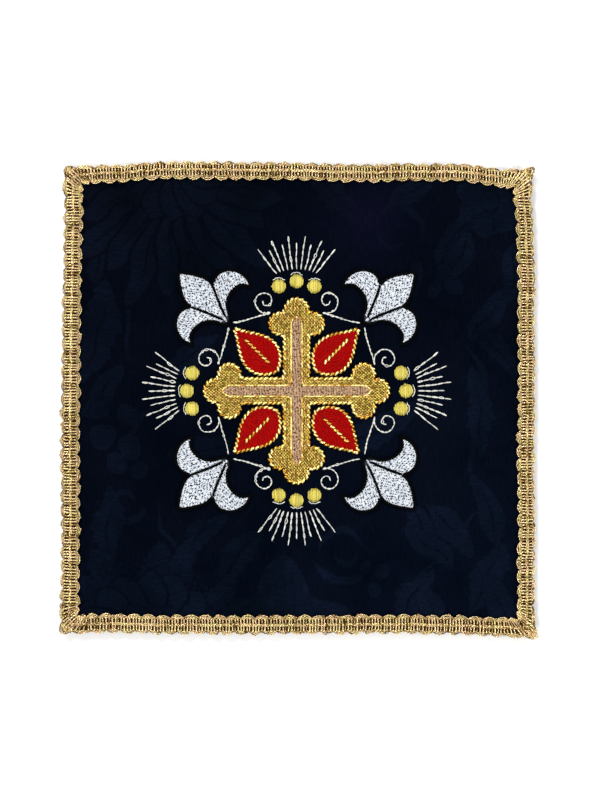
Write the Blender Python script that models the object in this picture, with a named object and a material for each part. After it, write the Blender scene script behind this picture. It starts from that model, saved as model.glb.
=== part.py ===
"""A chalice pall: a stiffened square of damask, edged with metallic gimp and embroidered in relief.

Blender metres, +Z up. The pall lies flat with its embroidered face up and its top edge
towards +Y. The origin is the middle of its underside. Sizes below are in millimetres and
one function turns them into metres when a mesh is made.
"""
import math

import bpy
import numpy as np

MM = 0.001

# The stiffened panel: cloth turned round a board, so its rim is rounded over
PANEL_HALF = 82.0
PANEL_CORNER_R = 2.5
RIM_Z = 1.1
SEAT_Z = 2.2
FIELD_Z = 2.9
SEAT_START = 1.2
SEAT_END = 6.3
FIELD_START = 16.0
PANEL_INNER_CELLS = 14
# rows: distance in from the rim, height there, from the rim up to the seat of the gimp
RIM_TOP = ((0.0, RIM_Z), (0.5, 1.85), (SEAT_START, SEAT_Z))
# rows: distance in from the rim, height there, from the rim down to the underside
RIM_BOTTOM = ((0.45, 0.3), (1.0, 0.0))

# Soft troughs where the cloth has eased off the board: from x, y to x, y, then depth and width
TROUGHS = (
    (61.0, -23.0, 66.0, -59.0, 0.22, 5.0),
    (-66.0, -12.0, -44.0, -60.0, 0.18, 7.0),
    (20.0, 62.0, 64.0, 44.0, 0.16, 7.0),
    (-20.0, -66.0, 30.0, -58.0, 0.14, 6.0),
)

# The gimp: one length turned at four corners, scalloped along both edges
BRAID_HALF = 80.3
BRAID_WIDE = 3.45
BRAID_NARROW = 2.3
SCALLOPS_A_SIDE = 32
STATIONS_A_SCALLOP = 4
BRAID_UNDER_Z = 2.5
BRAID_CORNER_R = 1.65
BRAID_CORNER_GROWTH = 0.33
BRAID_RUN_IN = 14.0
SCALLOP_ROUNDNESS = 0.8
# rows: share of the half width, height, across the top of the gimp
BRAID_SECTION = ((0.72, 3.85), (0.3, 3.45), (0.0, 4.05), (-0.3, 3.45), (-0.72, 3.85))
# how far the outer loops fan out at each turn: near left, near right, far right, far left
CORNER_FANS = (0.5, 2.0, 2.0, 0.6)
CORNER_FAN_RUN = 3.5

# The hand-sewn edges bow and droop. Rows: place along the edge, shift out of true
TOP_BOW = (
    (-78, -2.3), (-66, -1.55), (-48, -0.65), (-34, -0.5), (-14, -0.7), (-4, -0.6), (12, -1.35),
    (27, -1.55), (40, -1.2), (57, -1.2), (78, -3.5),
)
BOTTOM_BOW = (
    (-78, 1.7), (-64, 1.85), (-44, 1.35), (-34, 1.15), (-23, 1.3), (-10, 1.15), (7, 1.5), (37, 1.55),
    (48, 1.15), (58, 1.1), (78, 0.4),
)
LEFT_BOW = (
    (-78, -0.3), (-66, -0.15), (-50, 0.05), (-30, 0.15), (-12, 0.0), (14, 0.1), (32, 0.55), (50, 0.85),
    (64, 1.1), (78, 0.9),
)
RIGHT_BOW = (
    (-78, -1.6), (-66, -1.35), (-48, -1.05), (-28, -1.25), (-17, -1.5), (0, -1.2), (22, -1.05),
    (33, -1.3), (44, -1.15), (62, -1.8), (76, -2.7),
)

# The embroidery: raised motifs about one centre, a little above the middle of the cloth
MOTIF_CENTRE = (-0.7, 3.0)
MOTIF_UNDER_Z = 3.2
MOTIF_TOP_Z = 3.8
CURVE_STEPS = 6
ARC_STEPS = 9

# The budded cross: four arms, each ending in three round buds
ARM_HALF = 4.3
SIDE_BUD = (23.4, 5.6)
SIDE_BUD_R = 3.9
TIP_BUD = (28.0, 0.0)
TIP_BUD_R = 4.2

# Half outlines along +X, as cubic curves from start to end. The other half is their mirror.
PETAL_CURVES = (
    ((9.6, 0.0), (11.0, 4.6), (15.5, 7.8), (20.5, 6.0)),
    ((20.5, 6.0), (24.5, 4.5), (27.0, 1.6), (31.0, 0.0)),
)
LILY_CURVES = (
    ((33.5, 0.0), (33.5, 1.4), (34.4, 2.0), (35.5, 2.2)),
    ((35.5, 2.2), (38.5, 3.0), (41.0, 6.5), (40.5, 10.5)),
    ((40.5, 10.5), (40.2, 13.0), (38.5, 14.2), (36.5, 14.0)),
    ((36.5, 14.0), (40.0, 17.0), (46.5, 15.5), (48.0, 10.5)),
    ((48.0, 10.5), (48.6, 8.5), (47.6, 6.5), (46.6, 5.3)),
    ((46.6, 5.3), (50.0, 6.5), (54.0, 3.5), (58.5, 0.0)),
)

# Three padded discs past the tip of each arm
DISC_PLACES = ((36.4, -6.2), (38.2, 0.0), (36.4, 6.2))
DISC_R = 2.35
DISC_SIDES = 14
DISC_RINGS = ((1.0, MOTIF_UNDER_Z), (1.0, 3.45), (0.62, 3.85))
DISC_CROWN_Z = 4.0

# colour, roughness, metallic
FINISHES = {
    "navy_damask": ((0.004, 0.006, 0.016), 0.6, 0.0),
    "gold_gimp": ((0.42, 0.29, 0.12), 0.4, 0.6),
    "gold_thread": ((0.46, 0.31, 0.07), 0.45, 0.3),
    "red_thread": ((0.33, 0.01, 0.005), 0.5, 0.0),
    "white_thread": ((0.62, 0.66, 0.70), 0.5, 0.0),
    "bright_gold_thread": ((0.75, 0.65, 0.13), 0.4, 0.3),
}


def clear_scene():
    """Remove whatever the file opened with."""
    for thing in list(bpy.data.objects):
        bpy.data.objects.remove(thing, do_unlink=True)


def finish(name):
    """Make or fetch the Principled material of that name."""
    if name in bpy.data.materials:
        return bpy.data.materials[name]
    colour, roughness, metallic = FINISHES[name]
    made = bpy.data.materials.new(name)
    made.use_nodes = True
    shader = made.node_tree.nodes["Principled BSDF"]
    shader.inputs["Base Color"].default_value = (*colour, 1.0)
    shader.inputs["Roughness"].default_value = roughness
    shader.inputs["Metallic"].default_value = metallic
    return made


def add_piece(name, points, faces, finish_name):
    """Add one closed solid from points in millimetres."""
    mesh = bpy.data.meshes.new(name)
    mesh.from_pydata((np.asarray(points) * MM).tolist(), [], faces)
    mesh.validate()
    mesh.materials.append(finish(finish_name))
    mesh.shade_smooth()
    mesh.set_sharp_from_angle(angle=math.radians(40))
    piece = bpy.data.objects.new(name, mesh)
    bpy.context.collection.objects.link(piece)
    return piece


def ease(share):
    """Rise from 0 to 1 with level ends."""
    share = np.clip(share, 0.0, 1.0)
    return share * share * (3.0 - 2.0 * share)


def read_rows(rows, place):
    """Read a table of place and value, easing from row to row."""
    places, values = np.array(rows, dtype=float).T
    row = np.clip(np.searchsorted(places, place) - 1, 0, len(places) - 2)
    share = ease((place - places[row]) / (places[row + 1] - places[row]))
    return values[row] + share * (values[row + 1] - values[row])


def bowed(xy):
    """Shift points of the true square by the bow of the edges they lie between."""
    x, y = xy[:, 0], xy[:, 1]
    across = ease((x + BRAID_HALF) / (2 * BRAID_HALF))
    up = ease((y + BRAID_HALF) / (2 * BRAID_HALF))
    shift_x = (1 - across) * read_rows(LEFT_BOW, y) + across * read_rows(RIGHT_BOW, y)
    shift_y = (1 - up) * read_rows(BOTTOM_BOW, x) + up * read_rows(TOP_BOW, x)
    return np.stack([x + shift_x, y + shift_y], axis=1)


def braid_edge(turns, side):
    """How far the gimp's edge stands off its middle: round lobes, those of one edge between the other's."""
    lobe = np.abs(np.cos(np.pi * turns)) if side > 0 else np.abs(np.sin(np.pi * turns))
    return side * (BRAID_NARROW + (BRAID_WIDE - BRAID_NARROW) * lobe ** SCALLOP_ROUNDNESS)


def corner_radius(off):
    """Radius of the turn at a distance off the gimp's middle, outwards positive."""
    return BRAID_CORNER_R + BRAID_CORNER_GROWTH * off


def half_side(off):
    """Length from the middle of one turn to the middle of a side, at a distance off the gimp's middle."""
    radius = corner_radius(off)
    return BRAID_HALF + off - radius + math.pi / 4 * radius


def on_braid(corner, along, off):
    """Points of the gimp: along is measured on its middle from the middle of a turn, off is outwards.

    Lines across the gimp stay square to a side, and fan out over the last stretch before a turn.
    """
    whole = 2 * half_side(0.0)
    near = np.minimum(along, whole - along)
    slid = near + (half_side(off) - half_side(0.0)) * ease(near / BRAID_RUN_IN)
    radius = corner_radius(off)
    turn = np.minimum(slid / radius, math.pi / 4)
    centre = -(BRAID_HALF + off - radius)
    x = centre + radius * np.cos(math.pi * 1.25 + turn) + np.maximum(slid - math.pi / 4 * radius, 0.0)
    y = centre + radius * np.sin(math.pi * 1.25 + turn)
    late = along > whole / 2
    fan = np.where(late, CORNER_FANS[(corner + 1) % 4], CORNER_FANS[corner])
    fan = fan * np.clip(off / BRAID_WIDE, 0, 1) ** 2 * np.exp(-(near / CORNER_FAN_RUN) ** 2)
    x = x - fan * math.sqrt(0.5)
    y = y - fan * math.sqrt(0.5)
    x = np.where(late, -x, x)
    quarter = corner * math.pi / 2
    turned = np.stack([x * math.cos(quarter) - y * math.sin(quarter),
                       x * math.sin(quarter) + y * math.cos(quarter)], axis=1)
    return bowed(turned)


def braid_rings():
    """The gimp's cross sections in order round the pall, as an array of stations by points."""
    steps = SCALLOPS_A_SIDE * STATIONS_A_SCALLOP
    turns = np.arange(steps) / STATIONS_A_SCALLOP
    along = turns * 2 * half_side(0.0) / SCALLOPS_A_SIDE
    outer, inner = braid_edge(turns, 1), braid_edge(turns, -1)
    rings = []
    for corner in range(4):
        columns = []
        for share, height in ((-1.0, BRAID_UNDER_Z), (1.0, BRAID_UNDER_Z), *BRAID_SECTION):
            off = share * outer if share > 0 else -share * inner
            flat = on_braid(corner, along, off)
            columns.append(np.column_stack([flat, np.full(steps, height)]))
        rings.append(np.stack(columns, axis=1))
    return np.concatenate(rings)


def add_braid(rings, shift):
    """The gimp as one closed ring."""
    stations, around = rings.shape[:2]
    points = rings.reshape(-1, 3) + (*shift, 0.0)
    faces = []
    for station in range(stations):
        here, there = station * around, (station + 1) % stations * around
        for spot in range(around):
            nxt = (spot + 1) % around
            faces.append((here + spot, there + spot, there + nxt, here + nxt))
    add_piece("gold_braid", points, faces, "gold_gimp")


def rounded(xy):
    """Round the corners of the square: each small corner square becomes a quarter disc."""
    core = PANEL_HALF - PANEL_CORNER_R
    over = np.clip(np.abs(xy) - core, 0.0, None)
    reach = over.max(axis=1)
    wide = over[:, 0] >= over[:, 1]
    ratio = over.min(axis=1) / np.maximum(reach, 1e-9)
    angle = np.where(wide, math.pi / 4 * ratio, math.pi / 2 - math.pi / 4 * ratio)
    inside = np.minimum(np.abs(xy), core)
    moved = inside + reach[:, None] * np.stack([np.cos(angle), np.sin(angle)], axis=1)
    return np.where(over.min(axis=1)[:, None] > 0, np.sign(xy) * moved, xy)


def drawn_in(xy, inset):
    """Points of the square's edge brought in by an inset, keeping their place along it."""
    core = PANEL_HALF - PANEL_CORNER_R
    over = np.clip(np.abs(xy) - core, 0.0, None) * (1 - inset / PANEL_CORNER_R)
    return np.sign(xy) * (np.minimum(np.abs(xy), core) + over)


def panel_height(xy):
    """Height of the cloth: over the rim, level under the gimp, then up to the padded field."""
    depth = PANEL_HALF - np.abs(xy).max(axis=1)
    rim_in, rim_z = zip(*RIM_TOP)
    height = np.interp(depth, rim_in, rim_z)
    height += (FIELD_Z - SEAT_Z) * ease((depth - SEAT_END) / (FIELD_START - SEAT_END))
    for x0, y0, x1, y1, deep, wide in TROUGHS:
        line = np.array([x1 - x0, y1 - y0])
        share = np.clip((xy - (x0, y0)) @ line / (line @ line), 0, 1)
        away = np.linalg.norm(xy - ((x0, y0) + share[:, None] * line), axis=1)
        height -= deep * np.exp(-(away / wide) ** 2) * ease((depth - SEAT_END) / wide)
    return height


def add_panel(shift):
    """The stiffened panel as one closed solid: gridded top, rounded rim, flat underside."""
    edge = [PANEL_HALF - inset for inset, height in RIM_TOP]
    edge += [PANEL_HALF - inset for inset in (PANEL_CORNER_R, SEAT_END, (SEAT_END + FIELD_START) / 2)]
    field = PANEL_HALF - FIELD_START
    middle = np.linspace(-field, field, PANEL_INNER_CELLS + 1)
    lines = np.concatenate([-np.array(edge), middle, np.array(edge)[::-1]])
    count = len(lines)
    grid = np.stack(np.meshgrid(lines, lines), axis=-1).reshape(-1, 2)
    top = np.column_stack([bowed(rounded(grid)), panel_height(grid)])
    faces = [(row * count + col, row * count + col + 1, (row + 1) * count + col + 1, (row + 1) * count + col)
             for row in range(count - 1) for col in range(count - 1)]
    last = count - 1
    rim = [col for col in range(last)] + [row * count + last for row in range(last)]
    rim += [last * count + last - col for col in range(last)] + [(last - row) * count for row in range(last)]
    parts = [top]
    upper = rim
    for inset, height in RIM_BOTTOM:
        start = sum(len(part) for part in parts)
        flat = bowed(rounded(drawn_in(grid[rim], inset)))
        parts.append(np.column_stack([flat, np.full(len(rim), height)]))
        lower = list(range(start, start + len(rim)))
        for spot in range(len(rim)):
            nxt = (spot + 1) % len(rim)
            faces.append((upper[spot], lower[spot], lower[nxt], upper[nxt]))
        upper = lower
    faces.append(tuple(reversed(upper)))
    add_piece("damask_panel", np.concatenate(parts) + (*shift, 0.0), faces, "navy_damask")


def cubic(curve, steps=CURVE_STEPS):
    """Points along a cubic curve, without its end."""
    start, pull, push, end = np.array(curve)
    t = np.linspace(0, 1, steps, endpoint=False)[:, None]
    return (1 - t) ** 3 * start + 3 * (1 - t) ** 2 * t * pull + 3 * (1 - t) * t * t * push + t ** 3 * end


def arc(centre, radius, start, end):
    """Points along an arc between two angles."""
    angle = np.linspace(start, end, ARC_STEPS)
    return np.stack([centre[0] + radius * np.cos(angle), centre[1] + radius * np.sin(angle)], axis=1)


def turned(points, degrees):
    """Turn points about the motif's centre."""
    angle = math.radians(degrees)
    x, y = np.asarray(points).T
    return np.stack([x * math.cos(angle) - y * math.sin(angle),
                     x * math.sin(angle) + y * math.cos(angle)], axis=1)


def mirrored_outline(curves):
    """The outline whose upper half is the given curves, clockwise made anticlockwise."""
    half = np.concatenate([cubic(curve) for curve in curves])
    tip = np.array([curves[-1][-1]])
    return np.concatenate([half, tip, half[:0:-1] * (1, -1)])[::-1]


def cross_outline():
    """The budded cross: the circles of the buds cut each other and the sides of the arms."""
    neck = math.asin((ARM_HALF - SIDE_BUD[1]) / SIDE_BUD_R)
    gap = math.dist(SIDE_BUD, TIP_BUD)
    lean = math.atan2(TIP_BUD[1] - SIDE_BUD[1], TIP_BUD[0] - SIDE_BUD[0])
    at_side = math.acos((gap ** 2 + SIDE_BUD_R ** 2 - TIP_BUD_R ** 2) / (2 * gap * SIDE_BUD_R))
    at_tip = math.acos((gap ** 2 + TIP_BUD_R ** 2 - SIDE_BUD_R ** 2) / (2 * gap * TIP_BUD_R))
    side = arc(SIDE_BUD, SIDE_BUD_R, math.pi - neck, lean + at_side)
    tip_start = lean + math.pi - at_tip
    tip = arc(TIP_BUD, TIP_BUD_R, tip_start, -tip_start)
    arm = np.concatenate([[(ARM_HALF, ARM_HALF)], side, tip[1:-1], side[::-1] * (1, -1)])
    return np.concatenate([turned(arm, -90 * quarter) for quarter in range(4)])[::-1]


def add_plate(name, outline, finish_name):
    """A raised motif: its outline, lifted off the cloth and as thick as its stitching."""
    count = len(outline)
    flat = outline + MOTIF_CENTRE
    points = np.concatenate([np.column_stack([flat, np.full(count, height)])
                             for height in (MOTIF_UNDER_Z, MOTIF_TOP_Z)])
    faces = [tuple(reversed(range(count))), tuple(range(count, 2 * count))]
    for spot in range(count):
        nxt = (spot + 1) % count
        faces.append((spot, nxt, count + nxt, count + spot))
    add_piece(name, points, faces, finish_name)


def add_disc(name, place):
    """A padded satin disc: a short drum with a rounded crown."""
    angle = np.arange(DISC_SIDES) * 2 * math.pi / DISC_SIDES
    ring = np.stack([np.cos(angle), np.sin(angle)], axis=1) * DISC_R
    middle = np.asarray(place) + MOTIF_CENTRE
    points = [np.column_stack([ring * share + middle, np.full(DISC_SIDES, height)])
              for share, height in DISC_RINGS]
    points.append([(*middle, DISC_CROWN_Z)])
    faces = [tuple(reversed(range(DISC_SIDES)))]
    for level in range(len(DISC_RINGS) - 1):
        low, high = level * DISC_SIDES, (level + 1) * DISC_SIDES
        for spot in range(DISC_SIDES):
            nxt = (spot + 1) % DISC_SIDES
            faces.append((low + spot, low + nxt, high + nxt, high + spot))
    rim, crown = (len(DISC_RINGS) - 1) * DISC_SIDES, len(DISC_RINGS) * DISC_SIDES
    for spot in range(DISC_SIDES):
        faces.append((rim + spot, rim + (spot + 1) % DISC_SIDES, crown))
    add_piece(name, np.concatenate(points), faces, "bright_gold_thread")


def add_embroidery():
    """The cross, the petals and lilies between its arms, and the discs past its tips."""
    add_plate("cross_gold", cross_outline(), "gold_thread")
    for quarter in range(4):
        number = quarter + 1
        lean = 45 + 90 * quarter
        add_plate(f"petal_red_{number}", turned(mirrored_outline(PETAL_CURVES), lean), "red_thread")
        add_plate(f"lily_white_{number}", turned(mirrored_outline(LILY_CURVES), lean), "white_thread")
        for spot, place in enumerate(turned(DISC_PLACES, 90 * quarter)):
            add_disc(f"disc_gold_{3 * quarter + spot + 1}", place)


clear_scene()
braid = braid_rings()
# the bowed edges leave the square off centre, so panel and gimp move back together
off_centre = (braid[..., :2].min(axis=(0, 1)) + braid[..., :2].max(axis=(0, 1))) / 2
add_panel(-off_centre)
add_braid(braid, -off_centre)
add_embroidery()
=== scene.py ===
"""The looks of a chalice pall: a stiffened navy damask square, edged with gold gimp and embroidered.

Built outwards from the cloth: the panel, the gimp sewn round it, then the embroidery in the order
it is worked. Sizes are in millimetres until a mesh is made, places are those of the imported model.
"""
import functools
import math

import bpy
import numpy as np
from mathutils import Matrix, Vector
from mathutils.geometry import tessellate_polygon


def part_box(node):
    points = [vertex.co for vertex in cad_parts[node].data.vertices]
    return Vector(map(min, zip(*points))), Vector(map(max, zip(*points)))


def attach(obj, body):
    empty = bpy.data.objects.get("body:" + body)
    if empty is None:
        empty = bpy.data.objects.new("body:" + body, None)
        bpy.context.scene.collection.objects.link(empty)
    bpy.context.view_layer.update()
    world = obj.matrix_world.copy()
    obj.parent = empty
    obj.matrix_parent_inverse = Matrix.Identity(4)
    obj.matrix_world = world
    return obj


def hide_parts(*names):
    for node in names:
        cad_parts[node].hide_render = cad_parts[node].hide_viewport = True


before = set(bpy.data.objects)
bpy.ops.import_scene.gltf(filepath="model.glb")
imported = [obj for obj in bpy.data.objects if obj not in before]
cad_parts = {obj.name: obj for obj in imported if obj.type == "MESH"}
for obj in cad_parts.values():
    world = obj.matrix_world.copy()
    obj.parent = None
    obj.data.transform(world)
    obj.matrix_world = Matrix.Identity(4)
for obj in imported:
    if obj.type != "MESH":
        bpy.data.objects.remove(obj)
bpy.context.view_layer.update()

# The panel: satin damask turned round a thin board, padded with a little felt so that its face
# swells from the edge inwards, and backed with the same cloth. The damask is woven tone on tone:
# large flowers and leaves in a duller weave on a smooth satin ground.
MM = 0.001
PANEL_HALF = 82.0
PANEL_CORNER_R = 2.5
RIM_Z = 1.1
RIM_TOP_IN = 1.2
RIM_UNDER_IN = 1.0
SEAT_Z = 2.2
FIELD_Z = 2.9
SEAT_END = 6.3
FIELD_START = 16.0
BRAID_HALF = 80.3
CLOTH_LINES = 283
RIM_LINES = (0.0, 0.06, 0.2, 0.4, 0.7, 1.2, 1.8, 2.5)
UNDER_STEPS = 5
# rows: place along the edge, shift out of true
TOP_BOW = (
    (-78, -2.3), (-66, -1.55), (-48, -0.65), (-34, -0.5), (-14, -0.7), (-4, -0.6), (12, -1.35),
    (27, -1.55), (40, -1.2), (57, -1.2), (78, -3.5),
)
BOTTOM_BOW = (
    (-78, 1.7), (-64, 1.85), (-44, 1.35), (-34, 1.15), (-23, 1.3), (-10, 1.15), (7, 1.5), (37, 1.55),
    (48, 1.15), (58, 1.1), (78, 0.4),
)
LEFT_BOW = (
    (-78, -0.3), (-66, -0.15), (-50, 0.05), (-30, 0.15), (-12, 0.0), (14, 0.1), (32, 0.55), (50, 0.85),
    (64, 1.1), (78, 0.9),
)
RIGHT_BOW = (
    (-78, -1.6), (-66, -1.35), (-48, -1.05), (-28, -1.25), (-17, -1.5), (0, -1.2), (22, -1.05),
    (33, -1.3), (44, -1.15), (62, -1.8), (76, -2.7),
)
# soft troughs, from x, y to x, y, then depth and width
TROUGHS = (
    (61.0, -23.0, 66.0, -59.0, 0.22, 5.0),
    (-66.0, -12.0, -44.0, -60.0, 0.18, 7.0),
    (20.0, 62.0, 64.0, 44.0, 0.16, 7.0),
    (-20.0, -66.0, 30.0, -58.0, 0.14, 6.0),
)


def ease(share):
    """Rise from 0 to 1 with level ends: 3s^2 - 2s^3."""
    share = np.clip(share, 0.0, 1.0)
    return share * share * (3.0 - 2.0 * share)


def read_rows(rows, place):
    """Read a table of place and value, easing from row to row."""
    places, values = np.array(rows, dtype=float).T
    row = np.clip(np.searchsorted(places, place) - 1, 0, len(places) - 2)
    share = ease((place - places[row]) / (places[row + 1] - places[row]))
    return values[row] + share * (values[row + 1] - values[row])


def bowed(xy):
    """Shift points of the true square by the bows of its left and right, near and far edges."""
    x, y = xy[..., 0], xy[..., 1]
    across = ease((x + BRAID_HALF) / (2 * BRAID_HALF))
    up = ease((y + BRAID_HALF) / (2 * BRAID_HALF))
    shift_x = (1 - across) * read_rows(LEFT_BOW, y) + across * read_rows(RIGHT_BOW, y)
    shift_y = (1 - up) * read_rows(BOTTOM_BOW, x) + up * read_rows(TOP_BOW, x)
    return np.stack([x + shift_x, y + shift_y], axis=-1)


def compass(angle):
    """Unit vectors at angles from the x axis: cosine and sine."""
    return np.stack([np.cos(angle), np.sin(angle)], axis=-1)


def rounded(xy):
    """Round the square's corners: each corner square turns into a quarter disc, ring by ring."""
    core = PANEL_HALF - PANEL_CORNER_R
    over = np.clip(np.abs(xy) - core, 0.0, None)
    reach = over.max(axis=-1)
    ratio = over.min(axis=-1) / np.maximum(reach, 1e-9)
    angle = math.pi / 4 * np.where(over[..., 0] >= over[..., 1], ratio, 2 - ratio)
    moved = np.sign(xy) * (np.minimum(np.abs(xy), core) + reach[..., None] * compass(angle))
    return np.where(over.min(axis=-1)[..., None] > 0, moved, xy)


def cloth_height(xy):
    """Height of the cloth's face: over the rim, level under the gimp, up to the field, less its troughs.

    The rim is a quarter ellipse. Slow waves a few hundredths of a millimetre deep keep it from being flat.
    """
    x, y = xy[..., 0], xy[..., 1]
    depth = PANEL_HALF - np.abs(xy).max(axis=-1)
    over = np.clip(1 - depth / RIM_TOP_IN, 0.0, 1.0)
    height = RIM_Z + (SEAT_Z - RIM_Z) * np.sqrt(1 - over * over)
    height = height + (FIELD_Z - SEAT_Z) * ease((depth - SEAT_END) / (FIELD_START - SEAT_END))
    for x0, y0, x1, y1, deep, wide in TROUGHS:
        run = np.array([x1 - x0, y1 - y0])
        share = np.clip(((x - x0) * run[0] + (y - y0) * run[1]) / (run @ run), 0, 1)
        away = np.hypot(x - x0 - share * run[0], y - y0 - share * run[1])
        height = height - deep * np.exp(-(away / wide) ** 2) * ease((depth - SEAT_END) / wide)
    wave = np.sin(x / 9.1 + 1.3 * np.sin(y / 17.0)) * np.sin(y / 11.3 + 1.1 * np.sin(x / 23.0))
    return height + 0.035 * wave * ease((depth - SEAT_END) / FIELD_START)


def raised(flat, height):
    """Points over the plane, each at its height or all at one."""
    return np.concatenate([flat, np.broadcast_to(height, flat.shape[:-1])[..., None]], axis=-1)


def make_piece(name, points, faces, corner_uv=None, values=None):
    """Make a smooth mesh object from points in millimetres and arrays of faces of like size.

    corner_uv has a row for each face corner, values names an array with a number for each point.
    """
    mesh = bpy.data.meshes.new(name)
    corners = np.concatenate([group.ravel() for group in faces]).astype(np.int32)
    sizes = np.concatenate([np.full(len(group), group.shape[1]) for group in faces])
    mesh.vertices.add(len(points))
    mesh.vertices.foreach_set("co", (np.asarray(points) * MM).astype(np.float32).ravel())
    mesh.loops.add(len(corners))
    mesh.loops.foreach_set("vertex_index", corners)
    mesh.polygons.add(len(sizes))
    mesh.polygons.foreach_set("loop_start", (np.cumsum(sizes) - sizes).astype(np.int32))
    mesh.update(calc_edges=True)
    if corner_uv is not None:
        mesh.uv_layers.new(name="thread").data.foreach_set("uv", corner_uv.astype(np.float32).ravel())
    for label, numbers in (values or {}).items():
        mesh.attributes.new(label, "FLOAT", "POINT").data.foreach_set("value", numbers.astype(np.float32))
    mesh.validate()
    mesh.shade_smooth()
    piece = bpy.data.objects.new(name, mesh)
    bpy.context.collection.objects.link(piece)
    return piece


def leaf(xy, base_x, base_y, turn, length, half, bend, blunt=1.0, teeth=0):
    """A leaf as two fields: depth inside it, and a count that rises by one from side vein to side vein.

    Its half width is a sine over the length, widest nearer the tip as blunt grows, cut back by a saw
    wave for its teeth. bend bows the rib. Side veins run forward from the rib at about 45 degrees.
    """
    ahead, aside = math.cos(math.radians(turn)), math.sin(math.radians(turn))
    along = (xy[..., 0] - base_x) * ahead + (xy[..., 1] - base_y) * aside
    off = (xy[..., 1] - base_y) * ahead - (xy[..., 0] - base_x) * aside
    share = np.clip(along / length, 0, 1)
    off = off - bend * length * share * share
    width = half * np.sin(math.pi * share ** blunt) ** 0.7 * (1 - 0.3 * (share * teeth % 1))
    depth = np.minimum(width - np.abs(off), np.minimum(along, length - along))
    return depth, (along - 0.9 * np.abs(off)) / VEIN_PITCH + 0.5


def ribbed(xy, row):
    """A leaf with its middle rib left as ground."""
    depth, veins = leaf(xy, *row)
    base_x, base_y, turn, length, half, bend = row[:6]
    rib = leaf(xy, base_x, base_y, turn, length * 0.88, 0.42, bend * 0.88)[0]
    return np.minimum(depth, -rib), veins


def crescent(xy, mid_x, mid_y, radius, half, turn, span):
    """Depth inside a crescent: its half width fades along an arc, less the distance off the arc."""
    x, y = xy[..., 0] - mid_x, xy[..., 1] - mid_y
    swing = np.angle(np.exp(1j * (np.arctan2(y, x) - math.radians(turn))))
    fade = np.cos(np.clip(swing / math.radians(span), -1, 1) * math.pi / 2)
    return half * fade - np.abs(np.hypot(x, y) - radius) - 0.3 * (1 - fade), np.full(xy.shape[:-1], 0.5)


def laid_over(below, above, gap=0.6):
    """Weave one shape over what is there, with a line of ground left round it."""
    depth = np.maximum(above[0], np.minimum(below[0], -above[0] - gap))
    return depth, np.where(above[0] > -gap / 2, above[1], below[1])


VEIN_PITCH = 2.6
# painted light and shade over the cloth: how much lighter its colour is made for each metre to the
# right and up, and its level in the middle, which paints the far left corner darker
PAINTED_LIGHT_SLOPE = (1.9, -2.6, 0.0)
PAINTED_LIGHT_LEVEL = 0.98
# from thread to thread as drawn, and from one thick spot of a thread to the next
YARN_PITCH = 0.55
YARN_SLUB = 4.0
# soft blotches of painted sheen to the millimetre, where the cloth is painted lighter as if it caught the
# light
SHEEN_BLOTCHES = 0.03
# a patch of painted sheen, where the satin is painted as if it caught the light: middle x, y and reach
SHEEN_PATCH = (24.0, 63.0, 30.0)
# rows of ribbed leaves: base x, y, turn, length, half width, bend, bluntness, teeth
RIBBED_LEAVES = (
    (-76, 6, 66, 36, 8.5, 0.16, 1.1, 7), (-76, -6, 38, 22, 4.4, 0.25, 1.0, 0),
    (-70, 40, 96, 24, 4.6, -0.2, 0.9, 5), (-66, -58, 96, 27, 6.2, -0.14, 1.1, 6),
    (-40, -54, 60, 20, 4.6, -0.3, 1.0, 5), (-30, -62, 24, 19, 4.0, 0.42, 1.0, 0),
    (-28, -66, 70, 25, 5.0, -0.3, 1.1, 6), (-33, -80, 50, 23, 4.0, 0.22, 1.0, 0),
    (38, -34, -70, 27, 6.0, 0.16, 1.2, 6), (44, -36, -36, 24, 4.6, -0.22, 1.2, 0),
    (54, -60, 124, 22, 4.2, 0.26, 1.1, 0), (60, -76, 74, 28, 6.2, -0.18, 1.3, 6),
    (70, -52, 100, 28, 4.2, 0.16, 1.0, 0), (34, -82, 74, 25, 6.0, -0.24, 1.2, 6),
    (48, -84, 96, 20, 4.4, 0.1, 1.3, 0), (74, -84, 104, 24, 5.0, 0.1, 1.2, 0),
    (63, -20, 84, 32, 5.0, 0.18, 1.0, 7), (76, 6, 112, 26, 4.8, 0.25, 1.1, 5),
    (60, 20, 66, 24, 4.2, -0.3, 1.0, 0), (66, 66, 214, 26, 5.0, 0.2, 1.1, 6),
    (60, 58, 250, 22, 4.2, -0.24, 1.0, 0), (76, 54, 258, 20, 4.2, 0.16, 1.0, 0),
    (2, 80, -32, 27, 5.2, -0.24, 1.0, 6), (14, 82, -8, 27, 4.0, 0.22, 1.0, 0),
    (50, 78, 196, 22, 4.2, 0.3, 1.0, 0), (-8, -22, 62, 32, 7.0, 0.2, 1.1, 6),
    (6, 8, 140, 30, 6.2, -0.22, 1.1, 0), (14, -16, 15, 32, 6.0, 0.22, 1.0, 6),
    (-20, -18, 170, 26, 5.0, 0.24, 1.0, 0), (-46, 6, 60, 24, 4.4, -0.3, 1.0, 5),
    (30, 30, 40, 22, 4.2, 0.3, 1.0, 0),
)
# rows of round berries: x, y, radius
BERRIES = (
    (-68, -13, 4.9), (-60, -6, 3.7), (-58.5, -16.5, 4.0), (-64, -22.5, 3.6), (-56, -24.5, 3.0),
    (-70, -3, 3.2), (50, 44, 2.6), (54.5, 39.5, 3.2), (48, 38, 2.4), (26, -66, 2.4),
    (29.5, -60.5, 2.7), (24, -58, 2.1),
)
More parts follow.
